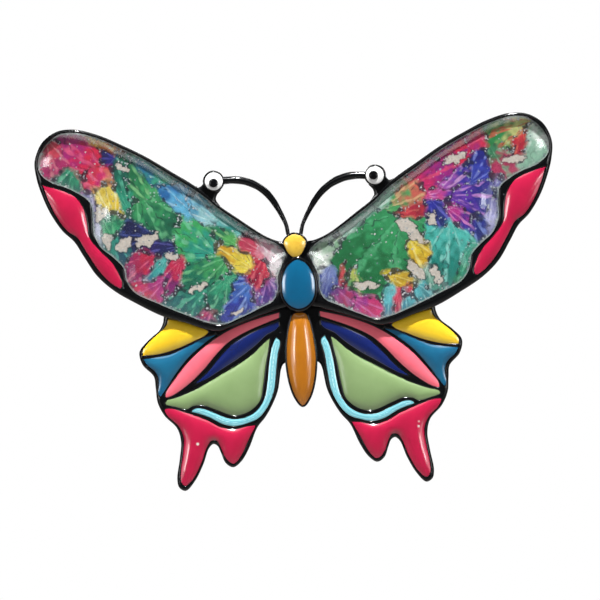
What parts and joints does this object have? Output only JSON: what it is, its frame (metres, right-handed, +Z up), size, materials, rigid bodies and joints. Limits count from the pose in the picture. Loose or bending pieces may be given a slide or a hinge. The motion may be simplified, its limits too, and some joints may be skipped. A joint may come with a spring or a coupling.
{
  "type": "brooch",
  "caption": "Butterfly brooch: black cast frame with raised printed forewings under clear resin, domed enamel hindwing cells, and a riveted bar pin with a rolling safety catch on its back.",
  "frame": {"origin": "middle of the pin bar's outer face, where the brooch bears on the cloth", "axes": "+Z up as worn, +X to the viewer's right, and +Y out of the back, into the wearer; the front faces -Y"},
  "size_m": [0.0702, 0.0095, 0.0495],
  "materials": {
    "black_lacquer": "gloss black lacquer over cast alloy",
    "yellow_enamel": "domed gloss enamel",
    "teal_enamel": "domed gloss enamel",
    "pink_enamel": "domed gloss enamel",
    "navy_enamel": "domed gloss enamel",
    "sage_enamel": "domed gloss enamel",
    "sky_enamel": "domed gloss enamel",
    "tail_enamel": "domed gloss enamel",
    "margin_enamel": "domed gloss enamel",
    "wing_print": "printed film with glitter",
    "clear_resin": "clear cast resin",
    "white_enamel": "gloss enamel",
    "pupil_enamel": "gloss enamel",
    "head_enamel": "domed gloss enamel",
    "thorax_enamel": "domed gloss enamel",
    "abdomen_enamel": "domed gloss enamel",
    "bar_steel": "nickel-plated, satin",
    "pin_steel": "polished steel wire"
  },
  "bodies": {
    "brooch": {"cast_frame": "black_lacquer", "yellow_enamel_right": "yellow_enamel", "teal_enamel_right": "teal_enamel", "pink_enamel_right": "pink_enamel", "navy_enamel_right": "navy_enamel", "sage_enamel_right": "sage_enamel", "sky_enamel_right": "sky_enamel", "tail_enamel_right": "tail_enamel", "margin_enamel_right": "margin_enamel", "wing_print_right": "wing_print", "wing_dome_right": "clear_resin", "eye_white_right": "white_enamel", "eye_pupil_right": "pupil_enamel", "yellow_enamel_left": "yellow_enamel", "teal_enamel_left": "teal_enamel", "pink_enamel_left": "pink_enamel", "navy_enamel_left": "navy_enamel", "sage_enamel_left": "sage_enamel", "sky_enamel_left": "sky_enamel", "tail_enamel_left": "tail_enamel", "margin_enamel_left": "margin_enamel", "wing_print_left": "wing_print", "wing_dome_left": "clear_resin", "eye_white_left": "white_enamel", "eye_pupil_left": "pupil_enamel", "head_enamel": "head_enamel", "thorax_enamel": "thorax_enamel", "abdomen_enamel": "abdomen_enamel", "pin_bar": "bar_steel", "hinge_rivet": "pin_steel", "catch_housing": "bar_steel"},
    "pin_stem": {"pin_stem": "pin_steel"},
    "catch_lever": {"catch_lever": "pin_steel"}
  },
  "joints": [
    {"name": "pin_hinge", "type": "hinge", "parent": "brooch", "child": "pin_stem", "pos_m": [0.0154, 0.00265, 0], "axis": [0, 0, -1], "range_deg": [0, 100]},
    {"name": "catch_turn", "type": "hinge", "parent": "brooch", "child": "catch_lever", "pos_m": [-0.0144, 0.00265, 0], "axis": [1, 0, 0], "range_deg": [0, 120]}
  ]
}
